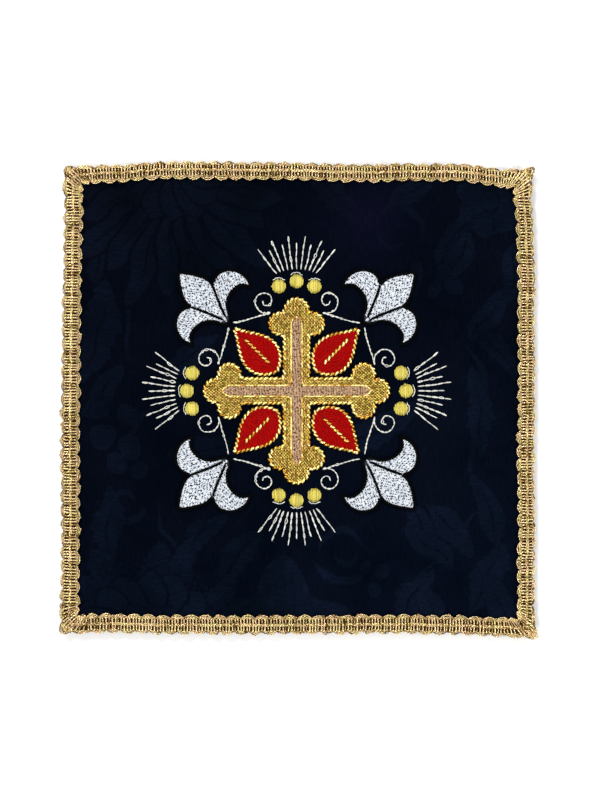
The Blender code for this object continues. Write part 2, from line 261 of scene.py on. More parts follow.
# rows of scrolls and stems: middle x, y, radius, half width, turn, span
SCROLLS = (
    (15, -53, 10.6, 1.6, -88, 84), (15, -53, 7.2, 1.4, 100, 100), (15.5, -53, 4.2, 1.3, -70, 95),
    (-61, -36, 7.0, 1.5, -95, 105), (-60, -36, 3.4, 1.2, 80, 100), (-44, -14, 14.0, 1.0, 170, 66),
    (-30, 24, 30.0, 0.9, 165, 48), (46, 2, 20.0, 0.9, 10, 66), (34, 58, 9.0, 1.5, 60, 90),
    (34, 58, 5.2, 1.2, 240, 95), (-6, 62, 13.0, 1.0, 200, 60), (20, -20, 46.0, 0.8, -42, 32),
    (-10, -30, 40.0, 0.8, 205, 26), (84, -20, 24.0, 0.9, 180, 50), (-84, -50, 20.0, 0.8, 20, 44),
)


def fan_over(figure, xy, gap, count, first, step, base_x, base_y, *shape):
    """Lay a fan of plain leaves over the figure, turned step degrees from one to the next."""
    for number in range(count):
        figure = laid_over(figure, leaf(xy, base_x, base_y, first + step * number, *shape), gap)
    return figure


def damask(xy):
    """The woven figure: leaves, berries, scrolls and four flowers laid over one another.

    Its outlines waver by slow and quick sine waves, as those of a pattern woven in steps do.
    """
    slow = np.sin(xy[..., ::-1] / (2.7, 3.1) + np.sin(xy / 5.3) * 1.4)
    quick = np.sin(xy[..., ::-1] * (3.3, 2.9) + 2 * np.sin(xy / 1.7))
    xy = xy + 0.7 * slow + 0.22 * quick
    cloth_x, cloth_y = xy[..., 0], xy[..., 1]
    plain = np.full(xy.shape[:-1], 0.5)
    figure = (plain - 9.5, plain)
    for row in SCROLLS:
        figure = laid_over(figure, crescent(xy, *row), 0.5)
    for row in RIBBED_LEAVES:
        figure = laid_over(figure, ribbed(xy, row))
    for x, y, radius in BERRIES:
        away = np.hypot(cloth_x - x, cloth_y - y)
        figure = laid_over(figure, (radius - away, (radius - away) / 1.5 + 0.35), 0.5)
    # a palmette of long leaves hangs from the far edge, over a fan of short ones
    for number in range(13):
        turn = -178 + 14.2 * number
        length = 29 + 15 * math.sin(math.pi * number / 12) + 6 * (number % 2)
        row = (-43.5, 79, turn, length, 4.5, 0.16 * (number - 6) / 6, 1.6)
        figure = laid_over(figure, ribbed(xy, row), 1.2)
    figure = fan_over(figure, xy, 1.1, 7, -168, 26, -43.5, 81, 19, 4.6, 0.0, 1.8)
    # a full flower stands in the near left corner, its heart stippled
    for number in range(7):
        row = (-52, -86, 12 + 26 * number, 40 - 3 * (number % 2), 6.6, 0.1 * (-1) ** number, 1.2, 6)
        figure = laid_over(figure, ribbed(xy, row), 0.7)
    stipple = np.sin(cloth_x * 1.9 + cloth_y * 0.6) * np.sin(cloth_y * 1.9 - cloth_x * 0.6) - 0.35
    heart = 31.0 - np.hypot(cloth_x + 52, cloth_y + 86)
    figure = laid_over(figure, (np.minimum(heart, stipple), plain), 0.4)
    figure = fan_over(figure, xy, 1.2, 9, 6, 21, -52, -87, 27, 5.4, 0.0, 2.1)
    figure = fan_over(figure, xy, 1.0, 7, 12, 26, -52, -87, 16, 4.8, 0.0, 2.1)
    # a bell flower hangs over the near edge, with a flared lip
    bell = leaf(xy, -5, -54.5, -90, 44, 11.0, 0.0, 0.9)[0]
    figure = laid_over(figure, (bell, (cloth_x + 5) / 3.2), 0.9)
    figure = laid_over(figure, ribbed(xy, (4, -68, -50, 22, 4.6, 0.2, 1.1)))
    figure = laid_over(figure, ribbed(xy, (-14, -68, -130, 22, 4.6, -0.2, 1.1)))
    # a smaller flower sits in the far right corner
    figure = fan_over(figure, xy, 0.6, 7, 0, 51.4, 67, 69, 12.5, 4.6, 0.0, 1.7)
    middle = 3.2 - np.hypot(cloth_x - 67, cloth_y - 69)
    return laid_over(figure, (middle, middle / 1.2), 0.7)


def linear(code):
    """Turn an sRGB hex colour into the linear one that shaders take."""
    parts = np.array([int(code[spot:spot + 2], 16) for spot in (1, 3, 5)]) / 255
    low, high = parts / 12.92, ((parts + 0.055) / 1.055) ** 2.4
    return (*np.where(parts <= 0.04045, low, high).tolist(), 1.0)


def feed(node, *sources, **named):
    """Feed a node's inputs in order and by name, from a node, one of its outputs or a plain value."""
    for socket, source in (*enumerate(sources), *named.items()):
        if isinstance(socket, str):
            socket = socket.replace("_", " ")
        if isinstance(source, bpy.types.Node):
            source = next(output for output in source.outputs if output.enabled)
        if isinstance(source, bpy.types.NodeSocket):
            node.id_data.links.new(source, node.inputs[socket])
        else:
            node.inputs[socket].default_value = source


def add_node(tree, kind, *sources, **settings):
    """Add a shader node, give it the settings that it has, and feed its inputs from the rest."""
    node = tree.nodes.new("ShaderNode" + kind)
    for label in [label for label in settings if hasattr(node, label)]:
        setattr(node, label, settings.pop(label))
    feed(node, *sources, **settings)
    return node


def new_material(name, **settings):
    """Make a material with a Principled shader. Gives back both, and between them its own add_node."""
    made = bpy.data.materials.new(name)
    made.use_nodes = True
    shader = made.node_tree.nodes["Principled BSDF"]
    feed(shader, **settings)
    return made, functools.partial(add_node, made.node_tree), shader


def damask_cloth():
    """Viscose damask: warp satin ground, almost black, and a weft figure that is duller and bluer.

    Threads lie 0.2 mm apart in the cloth. They are drawn 0.55 mm apart so that they show.
    """
    cloth, add, shader = new_material(
        "viscose_satin_damask", Specular_IOR_Level=0.01, Sheen_Weight=0.01, Sheen_Roughness=0.4,
        Sheen_Tint=linear("#3c50a8"))
    place = add("TexCoord").outputs["Object"]
    depth = add("Attribute", attribute_name="figure").outputs["Fac"]
    shape = add("MapRange", Value=depth, From_Min=-0.25, From_Max=0.25, interpolation_type="SMOOTHSTEP")
    count = add("Attribute", attribute_name="veins").outputs["Fac"]
    vein = add("Math", count, 0.5, operation="PINGPONG")
    between = add("MapRange", Value=vein, From_Min=0.04, From_Max=0.14, To_Min=0.55,
                  interpolation_type="SMOOTHSTEP")
    figure = add("Math", shape, between, operation="MULTIPLY")
    yarns = []
    for across, along in ((YARN_PITCH, YARN_SLUB), (YARN_SLUB, YARN_PITCH)):
        scale = (1 / (across * MM), 1 / (along * MM), 1.0)
        drawn = add("Mapping", Vector=place, Scale=scale)
        yarns.append(add("TexNoise", Vector=drawn, Scale=1.0, Detail=2.0))
    yarn = add("Mix", Factor=figure, A=yarns[0], B=yarns[1])
    # painted sheen: soft blotches mix each weave's colour from its dark to its light shade
    sheen_noise = add("TexNoise", Vector=place, Scale=SHEEN_BLOTCHES / MM, Detail=4.0, Roughness=0.6)
    sheen_blotch = add("MapRange", Value=sheen_noise, From_Min=0.36, From_Max=0.66)
    ground, weft_blue = (
        add("Mix", Factor=sheen_blotch, A=linear(dark), B=linear(light), data_type="RGBA")
        for dark, light in (("#01040c", "#040711"), ("#02060e", "#070d1b")))
    woven = add("Mix", Factor=figure, A=ground, B=weft_blue, data_type="RGBA")
    # painted sheen: a soft violet patch mixed into the colour
    sheen_x, sheen_y, reach = SHEEN_PATCH
    sheen_place = add("Mapping", Vector=place, Location=(-sheen_x / reach, -sheen_y / reach, 0.0),
               Scale=(1 / (reach * MM), 1 / (reach * MM), 0.0))
    patch = add("TexGradient", Vector=sheen_place, gradient_type="QUADRATIC_SPHERE")
    sheened = add("Mix", Factor=patch.outputs["Fac"], A=woven, B=linear("#08091a"), data_type="RGBA")
    streak = add("MapRange", Value=yarn, From_Min=0.3, From_Max=0.7, To_Min=0.75, To_Max=1.3)
    # painted light and shade: the colour slopes darker towards the far left corner
    slope = add("VectorMath", place, PAINTED_LIGHT_SLOPE, operation="DOT_PRODUCT")
    painted_light = add("Math", slope, PAINTED_LIGHT_LEVEL, operation="ADD")
    shade = add("Math", painted_light, streak, operation="MULTIPLY")
    colour = add("VectorMath", sheened, Scale=shade, operation="SCALE")
    rough = add("MapRange", Value=figure, To_Min=0.42, To_Max=0.62)
    bump = add("Bump", Height=yarn, Strength=0.35, Distance=0.00008)
    feed(shader, Base_Color=colour, Roughness=rough, Normal=bump)
    return cloth


def dress(piece, material, nodes):
    """Give a piece its material and let it ride on the pall, where it stands for CAD nodes."""
    piece.data.materials.append(material)
    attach(piece, "root")
    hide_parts(*nodes)
    return piece


def make_panel():
    """The cloth as a grid over the square with close lines at the rim, closed by the rim and the back."""
    inner = np.linspace(-PANEL_HALF + RIM_LINES[-1], PANEL_HALF - RIM_LINES[-1], CLOTH_LINES)
    rim_lines = PANEL_HALF - np.array(RIM_LINES[:-1])
    lines = np.concatenate([-rim_lines, inner, rim_lines[::-1]])
    count, last = len(lines), len(lines) - 1
    grid = np.stack(np.meshgrid(lines, lines), axis=-1).reshape(-1, 2)
    top = raised(bowed(rounded(grid)), cloth_height(grid))
    cell = (np.arange(last)[:, None] * count + np.arange(last)).ravel()
    faces = [np.stack([cell, cell + 1, cell + count + 1, cell + count], axis=1)]
    run = np.arange(last)
    rim = np.concatenate([run, run * count + last, last * count + last - run, (last - run) * count])
    parts, upper = [top], rim
    core = PANEL_HALF - PANEL_CORNER_R
    for fall in np.linspace(0, math.pi / 2, UNDER_STEPS + 1)[1:]:
        inset = RIM_UNDER_IN * (1 - math.cos(fall))
        over = np.clip(np.abs(grid[rim]) - core, 0.0, None) * (1 - inset / PANEL_CORNER_R)
        flat = bowed(rounded(np.sign(grid[rim]) * (np.minimum(np.abs(grid[rim]), core) + over)))
        lower = sum(map(len, parts)) + np.arange(len(rim))
        parts.append(raised(flat, RIM_Z * (1 - math.sin(fall))))
        faces.append(np.stack([upper, lower, np.roll(lower, -1), np.roll(upper, -1)], axis=1))
        upper = lower
    faces.append(upper[None, ::-1])
    points = np.concatenate(parts)
    low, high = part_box("damask_panel")
    middle = (points[:, :2].min(axis=0) + points[:, :2].max(axis=0)) / 2
    shift = np.array([low.x + high.x, low.y + high.y]) / 2 / MM - middle
    points[:, :2] += shift
    figure, veins = damask(points[:, :2])
    values = {"figure": np.clip(figure, -3.0, 3.0), "veins": veins}
    return make_piece("damask_cloth", points, faces, values=values), shift


panel, off_centre = make_panel()
dress(panel, damask_cloth(), ["damask_panel"])

# The gimp: one length of gold metallic braid, sewn round and turned at the four corners. A plaited
# heading runs down its middle under short bars of thread, three cords gather in scallops along each
# edge, and a cotton tape holds them underneath. Slack thread loops over the edges and the turns.
BRAID_CORNER_R = 1.65
BRAID_CORNER_GROWTH = 0.33
BRAID_RUN_IN = 8.0
CORNER_FANS = (0.5, 2.0, 2.0, 0.6)
CORNER_FAN_RUN = 3.5
# how much narrower the outer half was pulled on the near, right, far and left side
OUTER_PULL = (0.0, 0.2, 0.16, 0.0)
SCALLOPS_A_SIDE = 32
SCALLOPS = 4 * SCALLOPS_A_SIDE
PLAIT_TURNS = 171
PLAIT_POINTS = 16
PLAIT_HALF = 0.32
PLAIT_Z = 3.42
CRESCENT_POINTS = 14
BARS = 608
BAR_POINTS = 11
# rows: outer or inner side, least and added reach
BAR_REACH = ((1, 2.0, 0.75), (-1, 1.95, 0.6))
TAPE_REACH = ((1, 2.05, 0.9), (-1, 1.9, 0.8))
BAR_Z = 3.04
BAR_BOW = 0.58
# share of the tape's half width, height
TAPE_SECTION = ((-1.0, 2.86), (-0.8, 2.3), (0.8, 2.3), (1.0, 2.86))
SHARP_TURN = math.radians(40)
CORNER_THREADS = 16
CORNER_REACH = np.array([1.3, 3.3])
SLACK_LOOPS = 360
# rows: cord's least and added distance off the middle, height, half thickness
EDGE_CORDS = ((2.22, 1.02, 2.92, 0.2), (1.98, 0.72, 3.04, 0.17), (1.8, 0.42, 3.1, 0.14))
# tones of the three cords on the outer and inner edge: painted light, the inner edge lighter and the outer
# darker
EDGE_LIT_TONES = {1: (0.5, 0.56, 0.56), -1: (0.76, 0.7, 0.58)}
# to the millimetre: glints along the foil, and patches where its gilt has aged
GLINTS = 1.7
AGE_PATCHES = 0.42
# the two casts that old gilt takes, patch by patch
ROSY = (1.05, 0.95, 0.9)
GREENISH = (0.99, 1.0, 0.78)
seeded = np.random.default_rng(31)
lobe_size = {1: seeded.uniform(0.78, 1.16, SCALLOPS), -1: seeded.uniform(0.82, 1.22, SCALLOPS)}


def half_side(off):
    """Length from the middle of a turn to the middle of a side, at a distance off the gimp's middle."""
    radius = BRAID_CORNER_R + BRAID_CORNER_GROWTH * off
    return BRAID_HALF + off - radius + math.pi / 4 * radius


def on_braid(turns, off):
    """Places on the gimp: turns counts scallops round the pall, off is the distance outwards.

    Each side is straight, each turn an arc, and lines across fan out over the last stretch to a turn.
    """
    corner = np.floor(turns / SCALLOPS_A_SIDE)
    whole = 2 * half_side(0.0)
    along = (turns / SCALLOPS_A_SIDE - corner) * whole
    corner = corner.astype(int) % 4
    near = np.minimum(along, whole - along)
    pull = np.array(OUTER_PULL)[corner] * ease(near / BRAID_RUN_IN)
    off = np.where(off > 0, off * (1 - pull), off) + np.zeros_like(near)
    slid = near + (half_side(off) - half_side(0.0)) * ease(near / BRAID_RUN_IN)
    radius = BRAID_CORNER_R + BRAID_CORNER_GROWTH * off
    swing = math.pi * 1.25 + np.minimum(slid / radius, math.pi / 4)
    centre = -(BRAID_HALF + off - radius)
    late = along > whole / 2
    fan = np.array(CORNER_FANS)[(corner + late) % 4] * math.sqrt(0.5)
    fan = fan * np.clip(off / 3.5, 0, 1) ** 2 * np.exp(-(near / CORNER_FAN_RUN) ** 2)
    x = centre + radius * np.cos(swing) + np.maximum(slid - math.pi / 4 * radius, 0.0) - fan
    y = centre + radius * np.sin(swing) - fan
    x = np.where(late, -x, x)
    cosine, sine = np.array([1, 0, -1, 0])[corner], np.array([0, 1, 0, -1])[corner]
    return bowed(np.stack([x * cosine - y * sine, x * sine + y * cosine], axis=-1)) + off_centre


def lobes(turns, side):
    """0 where two scallops meet and 1 or so at the crown of each: a half sine, made rounder."""
    shifted = turns + 0.5 if side > 0 else turns
    size = lobe_size[side][np.floor(shifted).astype(int) % SCALLOPS]
    return size * np.abs(np.sin(math.pi * shifted)) ** 0.8


def sway(turns):
    """How far the sewn gimp wanders off its line: three slow waves that close round the pall."""
    round_trip = turns / SCALLOPS * 2 * math.pi
    waves = ((0.1, 9, 0), (0.07, 23, 1), (0.05, 41, 0))
    return sum(size * np.sin(count * round_trip + start) for size, count, start in waves)


def ring_faces(rings, sides, closed):
    """Four-sided faces from each ring of points to the next, and from the last to the first if closed."""
    here = np.arange(rings if closed else rings - 1)[:, None] * sides
    there = (here + sides) % (rings * sides)
    spot, following = np.arange(sides), (np.arange(sides) + 1) % sides
    return np.stack([here + spot, here + following, there + following, there + spot], axis=-1).reshape(-1, 4)


def unit(ways):
    """The same ways, each one long."""
    return ways / np.maximum(np.linalg.norm(ways, axis=-1, keepdims=True), 1e-9)


def threads(name, paths, wide, tall, tone, sides, closed=False):
    """Oval threads along paths: at each point a ring stands square to the path, half sizes wide and tall.

    paths is an array of threads by points by xyz. Open threads are capped. The map runs along each
    thread in millimetres and once round it, and tone is one number for each thread or point.
    """
    many, long = paths.shape[:2]
    ahead = unit(np.roll(paths, -1, 1) - np.roll(paths, 1, 1) if closed else np.gradient(paths, axis=1))
    across = unit(np.cross((0.0, 0.0, 1.0), ahead))
    upward = np.cross(ahead, across)
    swing = np.arange(sides) * 2 * math.pi / sides
    wide = np.broadcast_to(wide, (many, long))[..., None, None]
    tall = np.broadcast_to(tall, (many, long))[..., None, None]
    ring = np.cos(swing)[:, None] * wide * across[:, :, None]
    ring = ring + np.sin(swing)[:, None] * tall * upward[:, :, None]
    points = (paths[:, :, None] + ring).reshape(-1, 3)
    first = np.arange(many)[:, None, None] * long * sides
    faces = [(first + ring_faces(long, sides, closed)).reshape(-1, 4)]
    pace = np.linalg.norm(np.diff(paths, axis=1), axis=-1)
    run = np.concatenate([np.zeros((many, 1)), np.cumsum(pace, axis=1), pace.sum(axis=1)[:, None]], axis=1)
    if not closed:
        run = run[:, :-1]
    start, stop = run[:, :-1, None], run[:, 1:, None]
    turn, next_turn = np.arange(sides) / sides, (np.arange(sides) + 1) / sides
    along = np.stack(np.broadcast_arrays(start, start, stop, stop), axis=-1) + 0 * turn[:, None]
    around = np.broadcast_to(np.stack([turn, next_turn, next_turn, turn], axis=-1), along.shape)
    corner_uv = [np.stack([along, around], axis=-1).reshape(-1, 2)]
    if not closed:
        cap = np.arange(sides)
        faces += [first[:, 0] + cap[::-1], first[:, 0] + (long - 1) * sides + cap]
        corner_uv.append(np.zeros((2 * many * sides, 2)))
    tone = np.broadcast_to(tone[:, None] if np.ndim(tone) == 1 else tone, (many, long))
    return make_piece(name, points, faces, np.concatenate(corner_uv), {"tone": np.repeat(tone, sides)})


def twist(add, lay, plies, wide, low=0.0):
    """Rise from low in each groove of a wound thread to 1 on its turns, which are smooth.

    The phase of the winding is the length over the lay, and the number of plies times the way round.
    """
    parts = add("SeparateXYZ", add("UVMap", uv_map="thread"))
    length = add("Math", parts.outputs["X"], lay, operation="DIVIDE")
    turn = add("Math", parts.outputs["Y"], plies, operation="MULTIPLY")
    phase = add("Math", length, turn, operation="ADD")
    wound = add("Math", phase, 0.5, operation="PINGPONG")
    return add("MapRange", Value=wound, From_Max=wide, To_Min=low, interpolation_type="SMOOTHSTEP")


def metal_thread(name, dark, middle, light, roughness=0.36, plies=2.0, lay=1.1, foil=0.85,
                 deep=(0.46, 0.32, 0.1)):
    """Gilt thread: metallised foil wound on a cotton core, so it glints where a turn faces the light.

    Foil 0.3 mm wide would be lost, so its turns are drawn lay millimetres long. Between them the gold
    is mixed towards brown by deep: partly the brown core showing, partly painted shade in the grooves.
    With no plies this falls at each stitch's two ends instead. Each thread's tone, with painted glints
    from the glint noise, picks its own colour.
    """
    made, add, shader = new_material(name, Metallic=foil, Roughness=roughness)
    place = add("TexCoord").outputs["Object"]
    groove = twist(add, lay, plies, 0.32)
    glint = add("TexNoise", Vector=place, Scale=GLINTS / MM, Detail=2.0, Roughness=0.7)
    tone = add("Attribute", attribute_name="tone").outputs["Fac"]
    # painted glints: the glint noise lifts each thread's colour towards light
    mixed = add("Math", glint, tone, operation="ADD")
    ramp = add("ValToRGB", mixed)
    ramp.color_ramp.elements.new(0.95)
    for stop, spot, colour in zip(ramp.color_ramp.elements, (0.72, 0.95, 1.0), (dark, middle, light)):
        stop.position, stop.color = spot, linear(colour)
    # painted shade: the grooves, or each stitch's ends where there are no plies, are mixed towards deep
    shade = add("Mix", Factor=groove, A=(*deep, 1.0), B=(1.0, 1.0, 1.0, 1.0), data_type="RGBA")
    age = add("TexNoise", Vector=place, Scale=AGE_PATCHES / MM, Detail=1.0)
    cast = add("ValToRGB", age)
    for stop, spot, colour in zip(cast.color_ramp.elements, (0.38, 0.62), (ROSY, GREENISH)):
        stop.position, stop.color = spot, (*colour, 1.0)
    tinted = add("VectorMath", ramp, cast, operation="MULTIPLY")
    colour = add("VectorMath", tinted, shade, operation="MULTIPLY")
    relief = add("Math", groove, glint, operation="ADD")
    bump = add("Bump", Height=relief, Strength=0.7, Distance=0.0001)
    feed(shader, Base_Color=colour, Normal=bump)
    return made


gimp_gold = metal_thread("gilt_gimp_thread", "#503810", "#94763c", "#ecdab0")
# plain brown cotton with no foil: a matt dark ground that shows between the bars, its own colour
# made dark enough to stand for the shade in the pits there, so partly painted shade
core_brown = metal_thread("cotton_gimp_tape", "#3e2306", "#59350d", "#784f1c", roughness=0.9, foil=0.0)


def sewn_gimp(name, paths, wide, tall, tone, sides=6, closed=True):
    """Make one run of the gimp's threads, riding on the pall."""
    piece = threads(name, paths, wide, tall, tone, sides, closed)
    return dress(piece, gimp_gold, ["gold_braid"])


def turning(turns):
    """1 where the gimp turns a corner, falling to 0 within two scallops of it."""
    away = turns - SCALLOPS_A_SIDE * np.round(turns / SCALLOPS_A_SIDE)
    return np.exp(-(away / 1.3) ** 2)


def slack_loops():
    """Slack thread along both edges: short arcs that follow the scallops and bow out past the cords."""
    share = np.linspace(0, 1, 6)
    each = (SLACK_LOOPS, 1)
    side = np.where(seeded.random(each) < 0.5, 1, -1)
    scallop = (seeded.uniform(0, SCALLOPS, each) + seeded.uniform(0.12, 0.35, each) * share) % SCALLOPS
    lobe = np.where(side > 0, lobes(scallop, 1), lobes(scallop, -1))
    off = side * (2.2 + 1.0 * lobe + seeded.uniform(0.1, 0.55, each) * np.sin(math.pi * share))
    paths = raised(on_braid(scallop, off + sway(scallop)), 3.1 + seeded.uniform(-0.1, 0.2, each))
    tone = seeded.uniform(0.3, 0.9, SLACK_LOOPS)
    return sewn_gimp("gimp_slack_loops", paths, 0.14, 0.14, tone, 5, False)


def corner_tangles():
    """The bunched threads at each corner: short arcs of thread heaped over the turn, some past it."""
    share = np.linspace(0, 1, 9)
    tangles = []
    for corner in range(4):
        middle, point = on_braid(np.full(2, float(corner * SCALLOPS_A_SIDE)), CORNER_REACH)
        for _ in range(CORNER_THREADS):
            heart = middle + (point - middle) * seeded.uniform(-0.3, 0.7) + seeded.uniform(-0.8, 0.8, 2)
            angle = seeded.uniform(0, 2 * math.pi) + seeded.uniform(1.2, 3.4) * share
            radius = seeded.uniform(0.5, 1.1)
            flat = heart + radius * compass(angle)
            tangles.append(raised(flat, 3.2 + seeded.uniform(0.1, 0.5) * np.sin(math.pi * share)))
    tone = seeded.uniform(0.3, 0.85, len(tangles))
    return sewn_gimp("gimp_corner_threads", np.array(tangles), 0.21, 0.2, tone, closed=False)


def plait():
    """The heading: three strands, each swinging side to side once a turn and up and down twice."""
    turns = np.arange(PLAIT_TURNS * PLAIT_POINTS) / PLAIT_POINTS
    scallop = turns / PLAIT_TURNS * SCALLOPS
    strands = []
    for strand in range(3):
        phase = 2 * math.pi * (turns + strand / 3)
        place = on_braid(scallop, PLAIT_HALF * np.sin(phase) + sway(scallop))
        strands.append(raised(place, PLAIT_Z + 0.12 * np.sin(2 * phase)))
    tone = np.repeat(seeded.uniform(0.3, 0.75, (3, PLAIT_TURNS)), PLAIT_POINTS, axis=1)
    return sewn_gimp("gimp_heading", np.array(strands), 0.25, 0.24, tone)


def bars():
    """The thread that crosses the heading: straight bars that bow up, and reach further in a scallop."""
    share = np.linspace(-1, 1, BAR_POINTS)
    each = (BARS, 1)
    scallop = np.arange(BARS)[:, None] / BARS * SCALLOPS + seeded.uniform(-0.018, 0.018, each)
    scallop = (scallop + seeded.normal(0.0, 0.022, each) * share) % SCALLOPS
    outer, inner = (least + added * lobes(scallop, side) for side, least, added in BAR_REACH)
    reach = np.where(share > 0, outer, inner)
    height = BAR_Z + BAR_BOW * (1 - np.abs(share) ** 2.2) + seeded.uniform(-0.07, 0.07, each)
    paths = raised(on_braid(scallop, share * reach + sway(scallop)), height)
    thick = seeded.uniform(0.24, 0.34, each) * (0.84 + 0.24 * np.abs(share))
    thick = thick * (1 + 0.45 * turning(scallop) * np.maximum(share, 0))
    return sewn_gimp("gimp_bars", paths, thick, 0.26, seeded.uniform(0.42, 0.78, BARS), closed=False)


def edge_crescents(side):
    """Three cords along one edge: each follows the scallops, the outermost most, and all meet between."""
    scallop = np.arange(SCALLOPS * CRESCENT_POINTS) / CRESCENT_POINTS
    lobe = lobes(scallop, side)
    cords, halves = [], []
    for least, added, height, half in EDGE_CORDS:
        off = side * (least + added * lobe + seeded.normal(0.0, 0.07, len(scallop))) + sway(scallop)
        rise = height + 0.16 * lobe - 0.1 + 0.05 * np.sin(scallop * 2.1 + height)
        cords.append(raised(on_braid(scallop, off), rise))
        halves.append(half * (0.75 + 0.3 * lobe) * (1 + 0.5 * turning(scallop)))
    # painted light and shade: lighter at each scallop's crown and darker where scallops meet, give or take a
    # random share each half scallop
    tone = np.array(EDGE_LIT_TONES[side])[:, None, None] + seeded.uniform(-0.25, 0.25, (3, SCALLOPS * 2, 1))
    tone = (tone + np.zeros(CRESCENT_POINTS // 2)).reshape(3, -1) + 0.4 * (lobe - 0.6)
    name = "gimp_edge_outer" if side > 0 else "gimp_edge_inner"
    return sewn_gimp(name, np.array(cords), np.array(halves), np.array(halves), tone)


def tape():
    """The tape under the threads: a flat band that follows both edges a little way in."""
    scallop = np.arange(SCALLOPS * 8) / 8
    outer, inner = (side * (least + added * lobes(scallop, side)) for side, least, added in TAPE_REACH)
    middle, half = (outer + inner) / 2, (outer - inner) / 2
    rings = [raised(on_braid(scallop, middle + share * half + sway(scallop)), height)
             for share, height in TAPE_SECTION]
    points = np.stack(rings, axis=1).reshape(-1, 3)
    faces = ring_faces(len(scallop), len(TAPE_SECTION), True)
    tone = {"tone": np.full(len(points), 0.4)}
    piece = make_piece("gimp_tape", points, [faces], np.zeros((faces.size, 2)), tone)
    piece.data.set_sharp_from_angle(angle=SHARP_TURN)
    return dress(piece, core_brown, ["gold_braid"])


gimp = [plait(), bars(), edge_crescents(1), edge_crescents(-1), tape(), corner_tangles(), slack_loops()]

# The rays and tendrils: running stitch in a silver white thread, worked out along each line and
# back again, so that two threads lie side by side from hole to hole and part here and there.
MOTIF_CENTRE = np.array([-0.7, 3.0])
QUARTERS = (0, 90, 180, 270)
DIAGONALS = (45, 135, 225, 315)
STITCH_SHARES = np.array([0.0, 0.06, 0.16, 0.5, 0.84, 0.94, 1.0])
RUNNING_LENGTH = 2.5
# half thickness, lift, sink of the thread on its way out and back
RUNNING_OUT = (0.17, 0.19, 0.2)
RUNNING_BACK = (0.16, 0.24, 0.26)
TENDRIL_STITCH = 1.5
RAY_MIDDLE = 37.2
RAY_TURNS = np.linspace(-44.0, 44.0, 11)
RAY_START = (5.2, 9.9)
RAY_REACH = (16.9, 14.4)
RAY_SPREAD = 1.15
TENDRIL_LEAD = ((32.4, 1.2), (30.0, 4.0), (27.9, 9.2))
SPIRAL_MIDDLE = (29.8, 14.4)
SPIRAL_RADIUS = 4.4
SPIRAL_START = 200.0
SPIRAL_TURN = 480.0
SPIRAL_CLOSE = 0.8
needle = np.random.default_rng(12)


def turned(points, degrees):
    """Turn points about the motif's centre."""
    angle = math.radians(degrees)
    x, y = np.moveaxis(np.asarray(points, dtype=float), -1, 0)
    cosine, sine = math.cos(angle), math.sin(angle)
    return np.stack([x * cosine - y * sine, x * sine + y * cosine], axis=-1)


def cubic(curve):
    """Twelve points along a cubic curve, with both its ends."""
    start, pull, push, end = np.array(curve, dtype=float)
    t = np.linspace(0, 1, 12)[:, None]
    return (1 - t) ** 3 * start + 3 * (1 - t) ** 2 * t * pull + 3 * (1 - t) * t * t * push + t ** 3 * end


def left_of(ways):
    """Unit normals to the left of ways over the cloth."""
    ahead = unit(ways)
    return np.column_stack([-ahead[:, 1], ahead[:, 0]])


def along_line(line, places):
    """Points at given lengths along a line, and the line's normal to the left there."""
    run = np.concatenate([[0.0], np.cumsum(np.hypot(*np.diff(line, axis=0).T))])
    point, later, earlier = (
        np.column_stack([np.interp(places + step, run, values) for values in line.T])
        for step in (0.0, 0.1, -0.1))
    return point, left_of(later - earlier)


def line_length(line):
    """Length of a line of points."""
    return np.hypot(*np.diff(line, axis=0).T).sum()


def lay(start, stop, half, lift, sink, loft=0.0, outline=None, reach=1.8, bend=0.0):
    """Paths and half thicknesses of stitches that come up at start and go down at stop.

    A stitch stands lift over the cloth, less sink at its ends by 1 - |2s - 1|^6, where it also thins.
    Inside an outline it is lofted by an eased share of its depth. bend bows it sideways by a half sine.
    """
    share = STITCH_SHARES[:, None]
    bow = np.broadcast_to(bend, len(start))[:, None] * np.sin(math.pi * STITCH_SHARES)
    flat = start[:, None] * (1 - share) + stop[:, None] * share
    flat = flat + left_of(stop - start)[:, None] * bow[..., None]
    lying = 1 - np.abs(2 * STITCH_SHARES - 1) ** 6
    height = lift - sink * (1 - lying)
    if outline is not None:
        height = height + loft * ease(depth_in(outline, flat) / reach)
    flat = flat + MOTIF_CENTRE
    paths = raised(flat, height + cloth_height(flat - off_centre))
    return paths, half * (0.45 + 0.55 * lying) + np.zeros(paths.shape[:2])


def depth_in(outline, flat):
    """Distance from points to the nearest side of an outline."""
    near = np.asarray(outline, dtype=float)
    side = np.roll(near, -1, axis=0) - near
    size = np.maximum((side ** 2).sum(axis=1), 1e-9)
    away = flat[..., None, :] - near
    share = np.clip((away * side).sum(axis=-1) / size, 0, 1)
    return np.linalg.norm(away - share[..., None] * side, axis=-1).min(axis=-1)


def sewn(name, layers, material, nodes, tones=(0.2, 0.8)):
    """Make one piece of many stitches, each with a tone of its own, that stands for CAD nodes."""
    paths = np.concatenate([path for path, half in layers])
    halves = np.concatenate([half for path, half in layers])
    piece = threads(name, paths, halves, halves * 0.88, needle.uniform(*tones, len(paths)), 5)
    return dress(piece, material, nodes)


